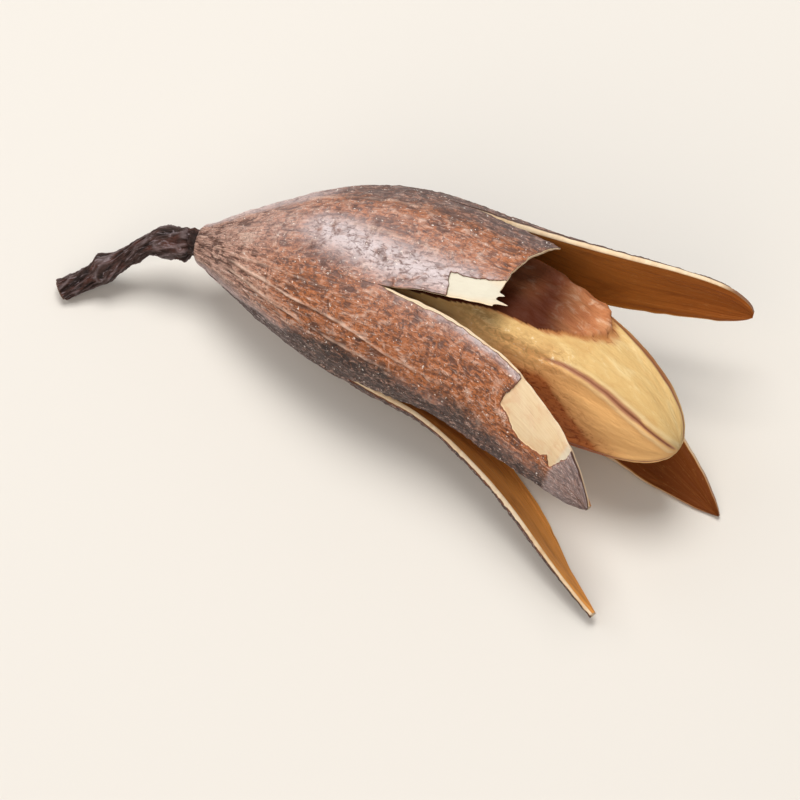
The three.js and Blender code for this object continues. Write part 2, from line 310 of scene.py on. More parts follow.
def makeSkin():
    # weathered dry fruit skin, shrunk into fine wrinkles: matt orange-brown and mauve, its crests pale pink
    # and its furrows near black as painted highlight and painted shade of the wrinkles, dusted silver with
    # bloom and a painted sheen of the key light, with painted shade on its lower and far sides, and cream
    # where it has peeled to the wood
    material, tree = newMaterial("weatheredPodSkin")
    attributes = ("depth", "relief", "bloomAndSheen", "shadeAndGreyTip", "rust", "pale", "lined", "crease")
    patterns = {
        "clouds": (3.2, 5, 4, 0.6),
        "patches": (0.8, 1.1, 6, 0.8),
        "strokes": (0.19, 0.42, 4, 1.1),
        "threads": (0.12, 0.5, 3, 0.6),
        "grit": (0.17, 0.2, 2, 0),
        "fibres": (0.15, 1.8, 3, 0.2),
        "furrows": (0.24, 3.4, 3, 0.5),
        "cracks": (0.8, 0.7, 2, 1),
    }
    f = surfaceFields(tree, attributes, patterns)
    crackLine = {0: f["cracks"], 1: 0.5, 2: 0.014}  # thin lines where the noise is near its middle
    f["cracked"] = addNode(tree, "Math", crackLine, operation="COMPARE").outputs[0]
    f["patchy"] = summed(tree, f, {"patches": 1, "clouds": 0.5, "rust": 1})
    skin = layered(tree, f, "#8e604f", [
        ("patchy", 0.69, 0.83, 0.95, "#b4672f"),
        ("patchy", 0.71, 0.55, 0.8, "#755a59"),
        ("pale", 0, 1, 0.85, "#c8a396"),
        ("strokes", 0.48, 0.36, 0.8, "#56301f"),
        ("strokes", 0.53, 0.68, 0.7, "#d0a792"),
        # painted shade in the wrinkles' furrows, and painted highlight on their crests
        ("relief", 0.42, 0.2, 0.75, "#4a281d"),
        ("relief", 0.58, 0.9, 0.65, "#dfbfae"),
        ("furrows", 0.47, 0.37, "lined", "#583c34"),
        ("furrows", 0.55, 0.65, "lined", "#d2bbb0"),
        ("cracked", 0, 1, 0.65, "#47271f"),
        ("threads", 0.44, 0.34, 0.5, "#5f3a2c"),
        ("threads", 0.57, 0.7, 0.5, "#e6cdc0"),
        # silver bloom, with a painted sheen of the key light
        ("patches", 0.31, 0.48, "bloomAndSheen", "#dbd0d4"),
        # painted shade as dark strokes on the lower and far sides, and the grey tip's own darkness
        ("strokes", 0.74, 0.46, "shadeAndGreyTip", "#2f1f1a"),
        # darker strokes inside the bloom and its painted sheen
        ("strokes", 0.5, 0.38, "bloomAndSheen", "#836b68"),
        ("grit", 0.665, 0.72, 0.9, "#f6ece4"),
        ("crease", 0, 1, 0.85, "#e3c3b0"),
    ])
    wood = layered(tree, f, "#dfc69f", [
        ("patches", 0.45, 0.62, 0.7, "#d6ae88"),
        ("fibres", 0.45, 0.7, 0.25, "#cba577"),
        ("clouds", 0.55, 0.7, 0.5, "#e9dabc"),
        # peeled wood greyed under the bloom and its painted sheen
        ("bloomAndSheen", 0.1, 0.7, 0.9, "#d3d1c2"),
    ])
    colour = layered(tree, f, skin, [
        ("depth", 0.03, 0.06, 0.8, "#96553a"),
        ("depth", 0.09, 0.12, 1, wood),
    ])
    bare = addNode(tree, "MapRange", {0: f["depth"], 1: 0.06, 2: 0.12})
    rough = summed(tree, f, {"strokes": 1, "threads": 0.5, "patches": 0.5, "grit": 0.3})
    smoothWood = summed(tree, f, {"fibres": 0.25})
    height = addNode(tree, "Mix", {0: bare.outputs[0], 2: rough, 3: smoothWood})
    gloss = addNode(tree, "MapRange", {0: f["patches"], 1: 0.3, 2: 0.7, 3: 0.45, 4: 0.7})
    finishMaterial(tree, colour, height.outputs[0], 0.13, gloss.outputs[0])
    return material


def makeWall():
    # the broken edge of a dry woody valve: cream fibres, with the dark skin as a thin line on its outer side
    material, tree = newMaterial("brokenWoodyEdge")
    patterns = {"clouds": (1.2, 2.2, 4, 0.4), "fibres": (0.1, 0.9, 4, 0.3)}
    f = surfaceFields(tree, ("depth", "browned"), patterns)
    colour = layered(tree, f, "#efdabb", [
        ("clouds", 0.45, 0.65, 0.6, "#dcb888"),
        ("fibres", 0.5, 0.72, 0.5, "#c69a66"),
        ("depth", 0.36, 0.48, 0.4, "#b98a55"),
        ("browned", 0, 1, 0.85, "#713a1f"),
        ("depth", 0.1, 0.05, 1, "#46291f"),
    ])
    finishMaterial(tree, colour, f["fibres"], 0.07, 0.65)
    return material


def makeLining():
    # the inner lining of a valve, a smooth papery layer polished by the seeds' wings: golden to dark brown,
    # with painted shade set by tone
    material, tree = newMaterial("paperyValveLining")
    patterns = {
        "clouds": (1.6, 3.5, 4, 0.5),
        "fibres": (0.2, 4.5, 4, 0.25),
        "motes": (0.25, 0.4, 3, 0.3),
    }
    f = surfaceFields(tree, ("tone", "edge"), patterns)
    colour = layered(tree, f, "#d59149", [
        # tone darkens the lining: its own colour together with painted shade where a valve's inside faces
        # away from the light
        ("tone", 0, 1, 1, "#853e0a"),
        ("tone", 1, 2, 1, "#492a0b"),
        ("clouds", 0.5, 0.3, 0.4, "#652f10"),
        ("clouds", 0.55, 0.75, 0.25, "#b3763d"),
        ("fibres", 0.5, 0.36, 0.25, "#5f2d10"),
        ("fibres", 0.55, 0.7, 0.15, "#c08c52"),
        ("motes", 0.62, 0.75, 0.25, "#cf9c63"),
        ("edge", 0, 1, 1, "#cf9a55"),
    ])
    height = summed(tree, f, {"fibres": 0.8, "clouds": 0.8})
    finishMaterial(tree, colour, height, 0.04, 0.55, 0.1)
    return material


def makePith():
    # the dry pithy core: matt tan-yellow, cloudy, with pinkish-brown seams on its ridges, a red-brown stain
    # with painted shade beside valve_3, painted warm bounce light on its lower face, a painted highlight on
    # the seam's lips near the tip, and over its shaded side a brown papery film that carries valve_1's
    # painted shadow
    material, tree = newMaterial("dryPithCore")
    patterns = {
        "clouds": (1.3, 2.2, 5, 0.5),
        "fibres": (0.16, 1.1, 4, 0.3),
        "blots": (0.32, 0.5, 4, 0.9),
        "smears": (0.7, 0.9, 5, 0.5),
        "grit": (0.12, 0.14, 2, 0),
    }
    f = surfaceFields(tree, ("seam", "lips", "film", "shade", "stainAndShade", "warmBounce", "rim", "scab"), patterns)
    pith = layered(tree, f, "#dab87c", [
        ("clouds", 0.5, 0.32, 0.55, "#cc9f63"),
        ("clouds", 0.55, 0.72, 0.6, "#edd7a4"),
        ("fibres", 0.5, 0.34, 0.25, "#c79b60"),
        ("blots", 0.58, 0.74, 0.3, "#f2e2b8"),
        ("grit", 0.68, 0.75, 0.35, "#b98f58"),
        # painted warm bounce light, lighter and warmer on the lower face
        ("warmBounce", 0, 1, 0.8, "#e9b475"),
        # red-brown by valve_3: a stain with painted shade from valve_3's edge
        ("stainAndShade", 0, 1, 0.9, "#a85a2a"),
        ("blots", 0.5, 0.36, "stainAndShade", "#84421f"),
        ("blots", 0.52, 0.42, "scab", "#b8935f"),
        ("blots", 0.6, 0.68, "scab", "#efe0bd"),
        # painted highlight on the seam's lips near the tip
        ("lips", 0.2, 0.9, 0.35, "#f3e0b4"),
        ("seam", 0.15, 0.7, 0.85, "#a36c56"),
        ("seam", 0.82, 0.97, 0.7, "#74402c"),
        ("rim", 0, 1, 0.7, "#9a6233"),
    ])
    papery = layered(tree, f, "#bf7d53", [
        ("clouds", 0.5, 0.34, 0.5, "#965030"),
        ("clouds", 0.5, 0.66, 0.5, "#cd9a70"),
        ("smears", 0.52, 0.68, 0.7, "#e6bfa0"),
        ("fibres", 0.5, 0.36, 0.3, "#7a4226"),
        # painted shadow of valve_1 on the film
        ("shade", 0, 1, 0.97, "#481903"),
    ])
    colour = layered(tree, f, pith, [("film", 0.2, 0.8, 1.0, papery)])
    height = summed(tree, f, {"clouds": 0.8, "fibres": 0.4, "blots": 0.6})
    finishMaterial(tree, colour, height, 0.07, 0.6, 0.15)
    return material


def makeBark():
    # dry twig bark, shrunk into furrows: near black in them, dark purple-brown between, greyer on the ribs;
    # the near black and the grey follow the ribs as painted shade and painted highlight
    material, tree = newMaterial("dryTwigBark")
    patterns = {"flakes": (0.22, 0.5, 5, 0.6), "clouds": (0.9, 1.6, 3, 0.4)}
    f = surfaceFields(tree, ("ribs", "cut"), patterns)
    colour = layered(tree, f, "#3e2c28", [
        ("clouds", 0.5, 0.66, 0.7, "#552e24"),
        # painted shade in the furrows between the ribs, and painted highlight on them two lines down
        ("ribs", 0.56, 0.3, 0.9, "#170d0b"),
        ("flakes", 0.47, 0.36, 0.8, "#241613"),
        ("ribs", 0.66, 0.92, 0.6, "#796b6d"),
        ("flakes", 0.56, 0.68, 0.65, "#92858a"),
        ("cut", 0, 1, 0.9, "#6d4a35"),
    ])
    height = summed(tree, f, {"ribs": 1, "flakes": 0.8})
    finishMaterial(tree, colour, height, 0.14, 0.55, 0.2)
    return material


podSkin = makeSkin()
woodyEdge = makeWall()
valveLining = makeLining()
dryPith = makePith()
twigBark = makeBark()
print("materials made:", len(bpy.data.materials))

# valves

valveForm = {  # shared by all of them
    "wall": 0.55,
    "wallAtBase": 0.42,
    "wallAtTip": 0.38,
    "edgeThinning": 0.35,  # share of the wall that is gone at an open edge
    "tearThinning": 0.5,  # and at the torn end
    "splinterThinning": 0.85,  # and in its splinters
    "splitGap": 0.13,  # held back at each side once the valve has opened
    "overlap": 0.02,  # and lapped over its neighbour where the pod is still shut
    "widestArc": 1.3,  # radians from the middle of a section to its edge
    "rimBulge": 0.07,
    "acrossSteps": 100,
    "rimSteps": 5,
    "alongSteps": 380,
    "meridianSteps": 401,
    "wave": [(0.08, 4, 2.3, 20), (0.035, 4, 0.55, 30)],  # of an edge: height, cells round, step along, seed
    "splinters": [(-0.93, 0.85), (-0.76, 0.4)],  # where on the torn end, and how long
    "peelDepth": 0.15,
    "peelSpread": 4.0,  # mm for half a valve's width, where the outlines of the patches are measured
}
plainValve = {
    "curl": 0, "yaw": 0, "twist": 0, "stretch": 1, "trough": 6.6, "endShare": 0.985, "blunt": 0, "slant": 0,
    "torn": 0, "trim": 0, "slim": 0, "worn": 0, "wornTo": 1, "silvered": 0, "greyTip": (40, 41),
    "browned": [(0, 0)], "creases": [],
}
# angles are in degrees, places along in mm from the twig, places across in shares of half a valve's width.
# opens and splits: from where to where the valve swings out, and each side parts from its neighbour; tone:
# how dark its lining is, near the twig and near the tip, its own colour with painted shade added; worn: mm of
# bare wood along an edge; browned: edge colour along it; creases: places along, across, width and strength;
# peeled: outline of a bare patch
valves = {
    "valve_1": {
        "azimuth": 126, "opens": (10.3, 21.9), "splay": 11.1, "trough": 5.7, "endShare": 0.62,
        "slant": 0.051, "torn": 0.017, "trim": 0.2, "tone": (1, 0.95), "splits": [(13, 16), (16, 20)],
        "creases": [
            ((6, 12, 17), (0.62, 0.5, 0.42), 0.09, 0.35),
            ((9, 14, 19), (-0.1, -0.22, -0.3), 0.08, 0.3),
        ],
        "peeled": [(16.5, -0.57), (16.8, -1.3), (23, -1.3), (23, -0.36), (19.5, -0.40), (17.9, -0.55)],
    },
    "valve_2": {
        "azimuth": 198, "opens": (13.3, 27.6), "splay": 20, "curl": 3.8, "yaw": 2.9, "twist": 33,
        "stretch": 0.967, "endShare": 0.92, "blunt": 0.06, "slim": 0.35, "tone": (0.05, 0.86),
        "splits": [(15, 20), (12, 18)], "browned": [(28.4, 0), (29.2, 1)],
        "creases": [((4, 12, 22), (0.3, 0.1, -0.2), 0.1, 0.6)],
        "peeled": [
            (25.2, 1.3), (25.6, 0.75), (26.9, 0.6), (26.5, 0.2), (27.4, -0.05), (27.1, -0.45), (28.6, -0.6),
            (29.2, -1.3), (32, -1.3), (32, 1.3),
        ],
    },
    "valve_3": {
        "azimuth": 54, "opens": (9.3, 23.4), "splay": 5.8, "curl": 3.9, "yaw": -4.4, "stretch": 0.937,
        "trough": 7.15, "endShare": 0.95, "blunt": 0.1, "tone": (0.6, 0.5), "splits": [(9, 14), (12.4, 14.5)],
        "worn": 0.17, "wornTo": 0.8, "silvered": 0.75, "greyTip": (28, 28.4),
        "browned": [(28, 0), (28.4, 0.3)],
        "creases": [
            (
                (3, 4.6, 5.6, 7.1, 9.2, 10.1, 12.1, 14.5, 17, 20),
                (0.6, 0.5, 0.45, 0.35, 0.3, 0.28, 0.18, 0, -0.05, -0.1), 0.075, 1.15,
            ),
            ((2.5, 6, 11, 16), (0.3, 0.05, -0.15, -0.3), 0.08, 0.75),
            ((3, 8, 13), (0.85, 0.75, 0.6), 0.06, 0.35),
        ],
        "peeled": [
            (23.5, 1.3), (23.1, 0.43), (23.2, 0.28), (24, 0.18), (24.8, 0), (25.8, -0.10), (27.1, 0.03),
            (27.5, 0.18), (28, -0.05), (28.3, 0.20), (28.6, 0.6), (28.7, 1.3),
        ],
    },
    "valve_4": {
        "azimuth": -18, "opens": (10.8, 14.7), "splay": 10.5, "curl": 2.6, "yaw": 12.7, "twist": 8.8,
        "stretch": 1.031, "trough": 7.9, "trim": 0.31, "worn": 0.16, "tone": (0.2, 0.02),
        "splits": [(9, 14), (9, 14)],
        "creases": [((3, 9, 16), (0.2, 0.1, -0.1), 0.09, 0.5)],
        "peeled": [(24.5, -1.3), (24, -0.5), (26.5, -0.2), (28, -0.7), (28.4, -1.3)],
    },
    "valve_5": {
        "azimuth": 270, "opens": (8, 20), "splay": -1.8, "yaw": 7.9, "twist": -0.8, "stretch": 1.078,
        "blunt": 0.06, "tone": (1.1, 1.55), "splits": [(12, 18), (9, 14)],
        "browned": [(18, 0.3), (29, 0.4), (31.5, 1)],
        "creases": [((4, 12, 20), (-0.3, -0.1, 0.1), 0.09, 0.5)],
        "peeled": [
            (26.9, -1.3), (27.3, -0.5), (28.4, -0.3), (27.9, 0.1), (29.3, 0.4), (29, 0.7), (30.2, 1.3),
            (34, 1.3), (34, -1.3),
        ],
    },
}


def meridian(valve):
    # middle line, walked from the twig: the shut pod's slope gives way to the valve's own splay as it opens
    t = np.linspace(0, 1, valveForm["meridianSteps"])
    x, r = t * pod["length"], closedRadius(t)
    begin, end = valve["opens"]
    opened = smooth(begin, end, x)
    swing = smooth(begin, pod["length"], x)
    curl = valve["curl"] * np.clip((x - begin) / (pod["length"] - begin), 0, 1)
    slope = mix(np.arctan2(np.gradient(r), np.gradient(x)), np.radians(valve["splay"] + curl), opened)
    yaw = np.radians(valve["yaw"]) * swing
    stretched = smooth(10, 14, between(x))
    length = np.hypot(np.diff(x), np.diff(r)) * mix(1, valve["stretch"], stretched)
    meanSlope, meanYaw = between(slope), between(yaw)
    line = {
        "x": x, "r": r, "opened": opened, "slope": slope, "yaw": yaw,
        "twist": np.radians(valve["twist"]) * swing,
        "along": totals(np.cos(meanSlope) * np.cos(meanYaw) * length),
        "out": r[0] + totals(np.sin(meanSlope) * np.cos(meanYaw) * length),
        "aside": totals(np.sin(meanYaw) * length),
        "walked": totals(length),
    }
    return t, line


def valveSurface(valve, at, across, depth):
    # section at each place of the middle line: an arc, its radius going from the pod's to the valve's own
    # trough, turned by slope, yaw and twist; across is the arc length from the middle, depth is inwards
    azimuth = math.radians(valve["azimuth"])
    forward, out = np.array([1.0, 0, 0]), radial(np.array(azimuth))
    aside = np.cross(out, forward)
    halfWidth = at["r"] * valveAngle
    arc = np.maximum(mix(at["r"], valve["trough"], at["opened"]), halfWidth / valveForm["widestArc"])
    lean = np.cos(at["slope"])[..., None] * out - np.sin(at["slope"])[..., None] * forward
    normal = unit(mix(out, lean, at["opened"][..., None]))
    side = np.cos(at["yaw"])[..., None] * aside - np.sin(at["yaw"])[..., None] * forward
    cosTwist, sinTwist = np.cos(at["twist"])[..., None], np.sin(at["twist"])[..., None]
    up, over = normal * cosTwist + side * sinTwist, side * cosTwist - normal * sinTwist
    angle = across / arc
    points = at["along"][..., None] * forward + at["out"][..., None] * out + at["aside"][..., None] * aside
    points = points + ((arc - depth) * np.cos(angle) - arc)[..., None] * up
    return points + ((arc - depth) * np.sin(angle))[..., None] * over


skinForm = {
    "wrinkles": [(0.25, 40, 2.0, 7), (0.4, 84, 0.8, 8), (0.35, 150, 0.4, 9)],
    "gathers": (46, 3.2, 12),
    "pebbles": (30, 0.55, 13),
    "scarAt": (2.0, 82, 1.9),  # mm from the twig, degrees of azimuth, and the pod's radius there
    "scarRings": [(1, 0.3, 0.1), (-0.8, 0, 0.17), (-0.8, 0.5, 0.08)],  # height, radius and width
    "grooveBeside": (-0.22, 0.1),  # mm from a crease, and width
    "lipHeight": 0.1,  # at the base
    "flatLevel": 0.45,  # of the wrinkles
    "shown": {"wrinkled": 1, "ringed": 0.4, "gathered": 0.25, "pebbles": 0.3},  # in its colour
    "heights": {  # mm
        "wrinkled": 0.17, "gathered": 0.12, "pebbles": 0.05, "ringed": 0.06, "crease": 0.09, "groove": -0.09,
    },
}
skinZones = {  # mm along and degrees round: the middle of valve_3 is at 54, and of valve_1 at 126
    # silverLine: where the skin faces up to the key light, so the silver band there is partly a painted sheen
    "silverLine": ([5, 8, 10.6, 12.8, 15, 20], [122, 118, 111, 105, 102, 99]),
    "farFlank": (138, 156, 215, 240),
    "nearFlank": (25, 48),
    "baseEnds": (6, 10),
    # below this line the lower side gets painted shade
    "shadeLine": ([1, 5, 10, 21, 28], [4, 32, 41, 36, 35]),
    "greyTip": 0.5,
    "rust": [(0.2, 64, 28), (0.11, 138, 14)],  # strength, middle and width
    "toneAlong": (14, 30),
}


def skinRelief(turns, walked):  # wrinkles of the skin: three sizes of ridge, 0 in furrows to 1 on crests
    across = turns + 0.004 * lattice(turns, walked, 26, 2.2, 5)
    along = walked + 0.6 * lattice(turns, walked, 34, 1.7, 6)
    return sum(share * ridged(lattice(across, along, *grid)) ** 2 for share, *grid in skinForm["wrinkles"])


def valveSection(form):
    # once round a section, from the middle of a rim: place across from -1 to 1, share of the wall's depth,
    # how far a rim bulges, and which material each step has
    steps, rim = form["acrossSteps"], form["rimSteps"]
    half = np.linspace(1, -1, steps + 1)
    half = mix(half, np.sin(half * np.pi / 2), 0.6)  # closer together at the edges
    turn = np.pi * np.arange(1, rim + 1) / (rim + 1)
    flat = np.zeros(steps + 1)
    u = np.concatenate([half, np.full(rim, -1.0), half[::-1], np.full(rim, 1.0)])
    inward = np.concatenate([flat, (1 - np.cos(turn)) / 2, flat + 1, (1 + np.cos(turn)) / 2])
    bulge = np.concatenate([flat, -np.sin(turn), flat, np.sin(turn)])
    sheet = np.repeat([0, 1, 2, 1], [steps, rim + 1, steps, rim + 1])
    start = 2 * (steps + 1) + rim + rim // 2
    return [np.roll(row, -start) for row in (u, inward, bulge, sheet)]


def valveLength(valve, u, s, number):
    # share of the pod's length at each point: up to the valve's end, less what a slant and a tear took, and
    # frayed along a torn end, with two splinters at its near corner
    missing = valve["torn"] * (1 - u * u) + valve["slant"] * (1 - u) / 2
    t = valve["endShare"] * (1 - (1 - s) ** 1.25) * (1 - missing * smooth(0.6, 1, s))
    if valve["torn"]:
        frayed = roughness(u * 0.25 + 0.25, 0 * u, [(0.05, 20, 1, 70), (0.03, 44, 1, 80)], number)
        for place, length in valveForm["splinters"]:
            frayed += length * bell(u, place, 0.032)
        t = t + frayed * smooth(0.93, 1, s) / pod["length"]
    return t


def valveOutline(valve, at, bulge, parted, number):
    # arc length from the middle line: narrower by the split once open, trimmed, rounded at a blunt end, and
    # never quite straight
    form, u, t = valveForm, at["u"], at["t"]
    halfWidth = at["r"] * valveAngle - form["splitGap"] * parted + form["overlap"] * (1 - parted)
    halfWidth = np.maximum(halfWidth, 0.04)
    taken = np.where(u < 0, valve["trim"] * smooth(0.36, 0.6, t), valve["slim"] * smooth(0.58, 0.9, t))
    rounded = 1.0
    if valve["blunt"]:
        pastShoulder = (t - valve["endShare"] + valve["blunt"]) / valve["blunt"]
        rounded = np.sqrt(1 - np.clip(pastShoulder, 0, 0.985) ** 2.2)
    wave = roughness(np.sign(u) * 0.25, at["walked"], form["wave"], number)
    across = u * halfWidth * (1 - taken) * rounded
    across += np.sign(u) * wave * np.abs(u) ** 3 * parted * rounded
    rimBulge = form["rimBulge"] * smooth(0, 0.6, halfWidth * rounded) * mix(0.2, 1, parted)
    return halfWidth, across + bulge * rimBulge


def valveWall(valve, at, parted):  # thinner at the base, the tip and the open edges, and then at a tear too
    form, t = valveForm, at["t"]
    sound = mix(form["wallAtBase"], form["wall"], smooth(0, 0.12, t))
    sound = mix(sound, form["wallAtTip"], smooth(0.75, 1, t / valve["endShare"]))
    sound = sound * (1 - form["edgeThinning"] * smooth(0.7, 1, np.abs(at["u"])) * parted)
    if not valve["torn"]:
        return sound, sound
    thinning = mix(form["tearThinning"], form["splinterThinning"], smooth(-0.6, -0.72, at["u"]))
    return sound, sound * (1 - thinning * smooth(0.9, 1, at["s"]))


def bareWood(valve, at, halfWidth, parted):  # 1 where the skin has gone: in peeled patches, along a worn edge
    u, t, spread = at["u"], at["t"], valveForm["peelSpread"]
    corners = [(x, spread * edge) for x, edge in valve["peeled"]]
    inside = polygonDistance(t * pod["length"], spread * u, corners)
    ragged = roughness(at["turns"], at["walked"], [(0.1, 60, 0.5, 3), (0.06, 160, 0.25, 4)])
    worn = valve["worn"] * parted * (1 - 0.6 * smooth(0.5, 0.6, t))
    worn = worn * (1 - smooth(0, 0.06, t - valve["wornTo"])) * (u > 0)
    pastEdge = worn - (1 - np.abs(u)) * halfWidth + 0.5 * ragged * (worn > 0.02)
    return np.maximum(smooth(-0.05, 0.05, inside + ragged), smooth(0, 0.08, pastEdge))


def skinMarks(valve, at, halfWidth):
    # what stands up from the skin, 1 at most: wrinkles, gathers and pebbles towards the twig, the rings of a
    # faint round scar, and pale creases, each with a groove beside it
    form, x, walked, turns = skinForm, at["x"], at["walked"], at["turns"]
    pebbled = smooth(50, 75, at["degrees"])
    gathered = ridged(lattice(turns, walked, *form["gathers"]), 0.8)
    scarX, scarDegrees, radius = form["scarAt"]
    fromScar = np.hypot(walked - scarX, (at["azimuth"] - math.radians(scarDegrees)) * radius)
    crease, groove = np.zeros(x.shape), np.zeros(x.shape)
    wander = 1 + 0.5 * lattice(0 * turns, walked, 2, 0.9, 9)
    broken = 0.75 + 0.5 * lattice(0 * turns, walked, 2, 0.6, 10)
    for places, edges, width, strength in valve["creases"]:
        off = (at["u"] - np.interp(x, places, edges)) * halfWidth
        along = strength * band((places[0] - 1, places[0] + 1, places[-1] - 5, places[-1]), x)
        crease = np.maximum(crease, bell(off, 0, width * wander) * along * broken)
        groove = np.maximum(groove, bell(off, *form["grooveBeside"]) * along)
    return {
        "wrinkled": skinRelief(turns, walked),
        "gathered": (gathered - 0.5) * (1 - smooth(2, mix(12, 7, pebbled), x)),
        "pebbles": lattice(turns, walked, *form["pebbles"]) * (1 - smooth(3, 8, x)) * pebbled,
        "ringed": sum(height * bell(fromScar, *ring) for height, *ring in form["scarRings"]),
        "crease": crease,
        "groove": groove,
    }


def skinColours(valve, at, bare):
    # where the skin is silvered by bloom with a painted sheen, darkened by painted shade and at a grey tip,
    # rusty, pale and lined, 1 at most
    zones, x, degrees = skinZones, at["x"], at["degrees"]
    shown = smooth(-50, -30, degrees)
    silver = np.interp(x, *zones["silverLine"])
    # the silver band: real bloom and a painted sheen of the key light along silverLine, widened by a haze
    bloomAndSheen = 0.95 * bell(degrees, silver, 13) * band((5.5, 9, 17, 24), x)
    haze = 0.2 * bell(degrees, silver + 4, 30) * band((2, 6, 15, 24), x)
    flanks = band(zones["farFlank"], degrees) + (1 - smooth(*zones["nearFlank"], degrees)) * shown
    flanks *= (0.2 + 0.35 * (1 - smooth(*zones["baseEnds"], x)))
    greyTip = smooth(*valve["greyTip"], x)
    edge = valve["silvered"] * smooth(0.8, 0.97, at["u"]) * smooth(14, 18, x) * (1 - bare)
    above = degrees - np.interp(x, *zones["shadeLine"]) + 8 * lattice(at["turns"], at["walked"], 40, 1.5, 98)
    # painted shade on the lower side, below the line
    shadeAndGreyTip = (1 - smooth(-4, 10, above)) * smooth(-48, -12, degrees)
    # painted shade on the far upper side, away from the twig
    farShade = 0.75 * band((130, 158, 215, 240), degrees) * smooth(*zones["baseEnds"], x)
    rust = sum(strength * bell(degrees, *place) for strength, *place in zones["rust"])
    lined = 0.85 * band((1, 3, 6, 15), x) * (1 - smooth(48, 70, degrees))
    return {
        "bloomAndSheen": np.maximum.reduce([bloomAndSheen, haze, flanks, zones["greyTip"] * greyTip, edge]),
        "shadeAndGreyTip": mix(np.maximum(shadeAndGreyTip, farShade), zones["greyTip"], greyTip),
        "rust": rust + 0.16 * bell(degrees, 122, 18) * smooth(15, 19, x),  # and near the torn end
        "pale": 1 - smooth(1.5, 8.5, x),
        "lined": lined * shown,
    }


def makeValve(name, number):
    # a curved shell: each point is its middle line's place, moved across and inwards by the wall's share; the
    # skin's relief and the peeled patches move only the outer face
    valve, form = {**plainValve, **valves[name]}, valveForm
    u, inward, bulge, sheet = valveSection(form)
    s = np.linspace(0, 1, form["alongSteps"])[:, None]
    u, inward, bulge = (row[None, :] + 0 * s for row in (u, inward, bulge))
    t = valveLength(valve, u, s, number)
    table, columns = meridian(valve)
    at = {key: np.interp(t, table, column) for key, column in columns.items()}
    azimuth = math.radians(valve["azimuth"]) + u * valveAngle
    at.update(u=u, s=s, t=t, azimuth=azimuth, degrees=np.degrees(azimuth), turns=azimuth / (2 * np.pi))
    walked, turns = at["walked"], at["turns"]
    first, second = valve["splits"]
    parted = np.where(u > 0, smooth(*second, at["x"]), smooth(*first, at["x"]))
    halfWidth, across = valveOutline(valve, at, bulge, parted, number)
    soundWall, wall = valveWall(valve, at, parted)
    bare = bareWood(valve, at, halfWidth, parted)
    marks = skinMarks(valve, at, halfWidth)

    heights = skinForm["heights"]
    outer = 1 - np.clip(inward * 3, 0, 1)
    relief = sum(height * marks[kind] for kind, height in heights.items())
    relief -= heights["wrinkled"] * skinForm["flatLevel"]
    relief = relief * (1 - bare) * smooth(0, 0.6, walked + 0.3) * smooth(0, 0.3, halfWidth)
    relief = (relief + skinForm["lipHeight"] * bell(walked, 0.25, 0.25)) * outer
    carved = np.minimum(form["peelDepth"], 0.4 * wall) * bare * outer  # not through a thin splinter
    waviness = 0.22 * at["opened"] * lattice(turns, walked, 9, 6.0, 40 + number)
    fibres = 0.02 * lattice(turns, walked, 150, 5.0, 50 + number) * inward
    points = valveSurface(valve, at, across, wall * inward + carved - relief - fibres + waviness)

    thinSkin = mix(1, 0.7, smooth(*valve["greyTip"], at["x"]))
    attributes = {
        "grain": grainOf(azimuth, walked),
        "depth": soundWall * inward * thinSkin * smooth(0.02, 0.3, walked) + form["peelDepth"] * bare * outer,
        # the skin's bumps, read for painted shade in furrows and painted highlight on crests
        "relief": sum(share * marks[kind] for kind, share in skinForm["shown"].items()),
        "crease": np.maximum(marks["crease"], 0.12 * np.clip(marks["ringed"], 0, 1)),
        # how dark the lining is: its own colour and painted shade, darkest inside valve_5
        "tone": mix(*valve["tone"], smooth(*skinZones["toneAlong"], at["x"])),
        "edge": smooth(0.95, 1.0, np.abs(u)) * 0.8 * parted,
        "browned": np.interp(at["x"], *zip(*valve["browned"])),
        **skinColours(valve, at, bare),
    }
    points = placed(points, 0.8 * wall * inward)  # so a wall pressed on the ground keeps its thickness
    piece = gridPiece(name + "_shell", points, attributes, [podSkin, woodyEdge, valveLining], sheet)
    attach(piece, "root")
    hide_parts(name)


for number, name in enumerate(valves):
    makeValve(name, number)
    print("valve made:", name)

# core

coreForm = {
    "from": 2.5,
    "to": 31.8,
    "widest": 17.2,
    "radius": 4.61,
    "footShare": 0.25,  # of the radius, at the foot
    "circle": 0.93,
    "pentagon": 0.65,  # share of the section that is a pentagon and not a circle
    "firstRidge": math.radians(93.4),
    "alongSteps": 320,
    "aroundSteps": 300,
    "nearRidge": [  # how the ridge in front wanders: x and azimuth
        (17, 93), (19.2, 90), (20.1, 87), (21.9, 87), (23.1, 90), (24.9, 94), (26, 96), (27.1, 96),
        (28.3, 94), (29.4, 93), (30.5, 89), (31.8, 86),
    ],
    "nearSeamFrom": (21.8, 24.5),
    "seamWidth": 0.17,
    "lipHeight": 0.1,
    "grooveDepth": 0.06,
    "rough": [(0.06, 26, 2.4, 63), (0.02, 80, 0.7, 64), (0.012, 170, 0.3, 65)],
    "redSide": [(20, 74), (22, 73), (24, 69), (25, 60), (26.2, 48), (27.5, 32), (29, 8), (31, -20)],
    "filmEdge": [  # azimuth and x
        (80, 0), (95, 16.5), (103, 18.7), (106, 20.4), (108, 22), (116, 22.8), (123, 23.6), (132, 24.4),
        (142, 24.8), (152, 25), (165, 24.4), (185, 23), (205, 20), (225, 17), (245, 0),
    ],
    "filmHeight": 0.12,
    "filmSwell": 0.22,
    "filmRoll": 0.07,
    # the painted shadow of valve_1 on the film ends here
    "shadeEdge": 23.1,  # the film is dark before this
}


